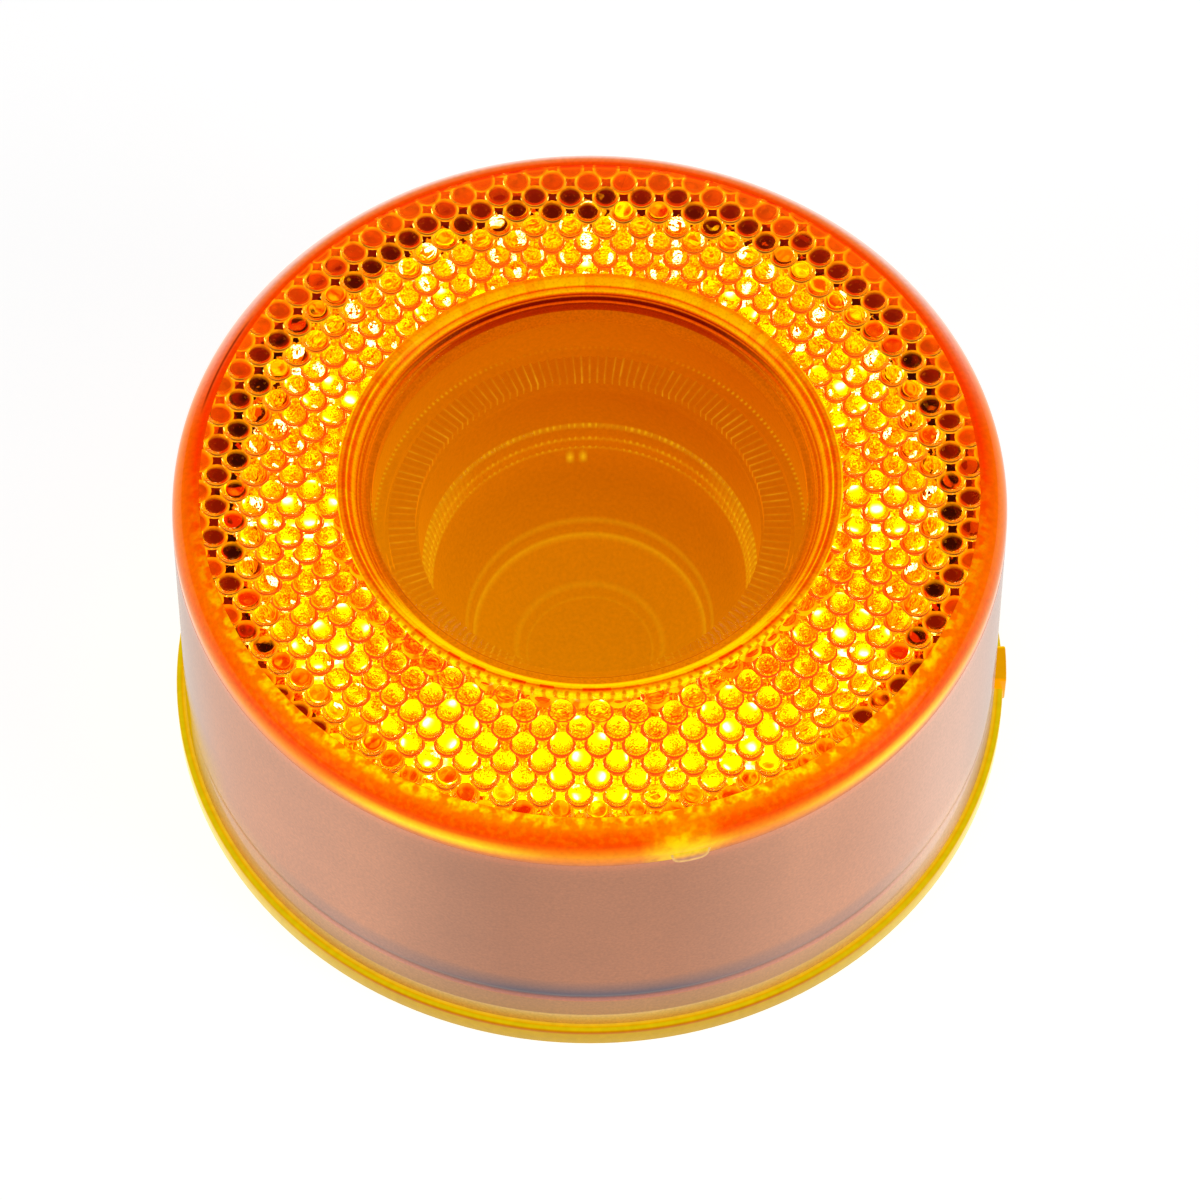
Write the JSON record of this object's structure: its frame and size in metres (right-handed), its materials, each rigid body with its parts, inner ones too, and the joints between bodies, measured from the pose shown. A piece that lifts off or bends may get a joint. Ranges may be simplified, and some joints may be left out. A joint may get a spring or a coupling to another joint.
{
  "type": "round led marker lamp",
  "caption": "Lit round amber LED marker lamp with a beaded optic ring, a stepped tunnel reflector seen through a clear centre, a satin side wall and a mounting flange.",
  "frame": {"origin": "centre of the flat rear face", "axes": "+Z out through the lens, along the lamp's round axis; +X towards the index tab on the flange; +Y completes the frame"},
  "size_m": [0.0637, 0.0636, 0.028],
  "materials": {
    "lens_amber": "clear amber moulded polycarbonate, glossy",
    "window_clear": "clear polished plastic",
    "light_guide_clear": "clear acrylic with radial flutes",
    "reflector_metallised": "metallised plastic, satin, amber in the lamp's light",
    "reflector_bright": "bright metallised plastic",
    "led_package": "white package with a lit amber chip",
    "board_green": "solder mask over glass-filled board",
    "component_black": "moulded epoxy",
    "capacitor_can": "drawn can",
    "skirt_satin": "satin metallised plastic seen through the clear wall",
    "housing_black": "fine moulded grain",
    "potting_black": "poured epoxy, slightly wavy",
    "terminal_brass": "turned brass",
    "lead_sheath": "insulated wire",
    "rubber_black": "moulded rubber"
  },
  "bodies": {
    "root": {"lens": "lens_amber", "tunnel_window": "window_clear", "fluted_light_ring": "light_guide_clear", "tunnel_reflector": "reflector_metallised", "led_reflector_tray": "reflector_bright", "led_01": "led_package", "led_02": "led_package", "led_03": "led_package", "led_04": "led_package", "led_05": "led_package", "led_06": "led_package", "led_07": "led_package", "led_08": "led_package", "led_09": "led_package", "led_10": "led_package", "led_11": "led_package", "led_12": "led_package", "led_board": "board_green", "resistor_01": "component_black", "resistor_02": "component_black", "resistor_03": "component_black", "reverse_polarity_diode": "component_black", "driver_chip": "component_black", "surge_capacitor": "capacitor_can", "side_reflector": "skirt_satin", "housing": "housing_black", "potting": "potting_black", "terminal_pin_power": "terminal_brass", "terminal_pin_ground": "terminal_brass", "lead_power": "lead_sheath", "lead_ground": "lead_sheath", "sealing_ring": "rubber_black"}
  },
  "joints": []
}
